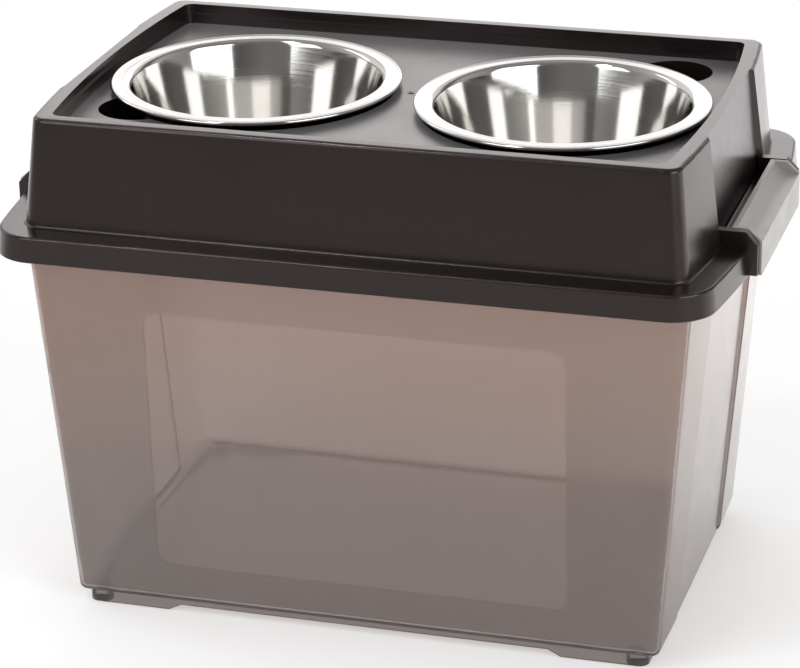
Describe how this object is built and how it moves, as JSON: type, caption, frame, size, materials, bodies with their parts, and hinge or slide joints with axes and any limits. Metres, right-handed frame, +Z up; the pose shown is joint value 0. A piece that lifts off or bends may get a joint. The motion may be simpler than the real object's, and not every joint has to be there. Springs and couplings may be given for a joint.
{
  "type": "elevated dog feeder with storage",
  "caption": "Raised pet feeder: a translucent storage tub with a gasketed lift-off lid, side latches, and lift-out steel bowls seated in wells in the lid.",
  "frame": {"origin": "on the floor, under the middle of the tub", "axes": "+X to the right along the long side, +Y to the back, +Z up"},
  "size_m": [0.5872, 0.3894, 0.4065],
  "materials": {
    "tub_plastic": "translucent smoke, frosted outside, polished window in the front",
    "lid_plastic": "satin black moulding",
    "gasket_foam": "soft closed-cell seal",
    "bowl_steel": "polished stainless steel",
    "latch_plastic": "warm grey satin moulding",
    "pad_rubber": "black rubber"
  },
  "bodies": {
    "tub": {"storage_tub": "tub_plastic", "foot_pad_front_left": "pad_rubber", "foot_pad_front_right": "pad_rubber", "foot_pad_back_left": "pad_rubber", "foot_pad_back_right": "pad_rubber"},
    "lid": {"lid": "lid_plastic", "lid_gasket": "gasket_foam"},
    "bowl_left": {"bowl_left": "bowl_steel"},
    "bowl_right": {"bowl_right": "bowl_steel"},
    "latch_left": {"latch_left": "latch_plastic"},
    "latch_right": {"latch_right": "latch_plastic"}
  },
  "joints": [
    {"name": "lid_lift", "type": "slide", "parent": "tub", "child": "lid", "axis": [0, 0, 1], "range_m": [0, 0.16]},
    {"name": "bowl_left_lift", "type": "slide", "parent": "lid", "child": "bowl_left", "axis": [0, 0, 1], "range_m": [0, 0.1]},
    {"name": "bowl_right_lift", "type": "slide", "parent": "lid", "child": "bowl_right", "axis": [0, 0, 1], "range_m": [0, 0.1]},
    {"name": "latch_left_swing", "type": "hinge", "parent": "lid", "child": "latch_left", "pos_m": [-0.273, 0, 0.3296], "axis": [0, 1, 0], "range_deg": [0, 115]},
    {"name": "latch_right_swing", "type": "hinge", "parent": "lid", "child": "latch_right", "pos_m": [0.273, 0, 0.3296], "axis": [0, -1, 0], "range_deg": [0, 115]}
  ]
}
